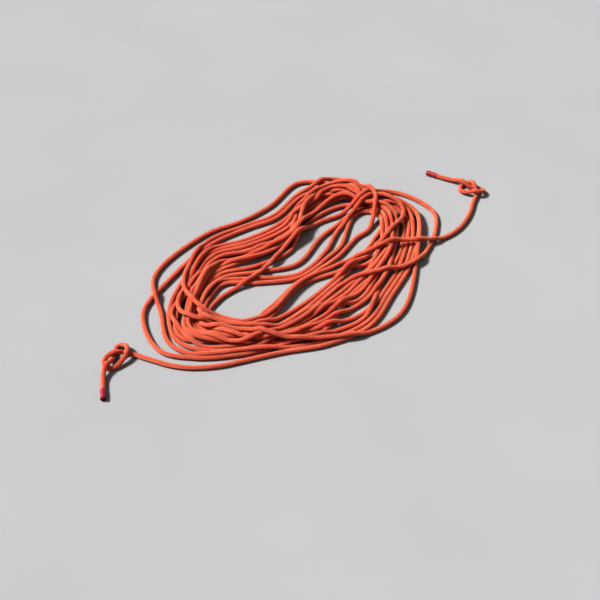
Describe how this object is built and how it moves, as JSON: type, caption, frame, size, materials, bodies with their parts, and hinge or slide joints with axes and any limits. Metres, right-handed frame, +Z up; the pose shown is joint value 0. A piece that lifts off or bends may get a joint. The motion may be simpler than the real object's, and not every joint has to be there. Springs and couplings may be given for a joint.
{
  "type": "dynamic climbing rope",
  "caption": "Dynamic climbing rope flaked into a loose oval coil, an overhand knot near each end and a shrunk cap on each cut end.",
  "frame": {"origin": "on the floor, under the centre of the whole rope's bounding box", "axes": "+Z up from the floor, +X along the long axis of the coil towards the right-hand end, +Y across the coil"},
  "size_m": [1.0586, 0.5088, 0.03],
  "materials": {
    "sheath": "woven nylon sheath, slightly fuzzy, matte with a soft sheen",
    "core": "twisted undyed nylon cord",
    "tracer": "thin unprinted polymer tape",
    "fused_end": "melted and resolidified nylon, glossy",
    "end_cap": "glossy shrunk polyolefin sleeve, translucent crimson"
  },
  "bodies": {
    "root": {"left_core_cord_1": "core", "left_core_cord_2": "core", "left_core_cord_3": "core", "left_core_cord_4": "core", "left_core_cord_5": "core", "left_core_cord_6": "core", "left_core_cord_7": "core", "left_end_cap": "end_cap", "left_fused_end": "fused_end", "left_knot": "sheath", "left_lead": "sheath", "left_tail_sheath": "sheath", "left_tracer_tape": "tracer", "right_core_cord_1": "core", "right_core_cord_2": "core", "right_core_cord_3": "core", "right_core_cord_4": "core", "right_core_cord_5": "core", "right_core_cord_6": "core", "right_core_cord_7": "core", "right_end_cap": "end_cap", "right_fused_end": "fused_end", "right_knot": "sheath", "right_lead": "sheath", "right_tail_sheath": "sheath", "right_tracer_tape": "tracer", "rope_coil": "sheath"}
  },
  "joints": []
}
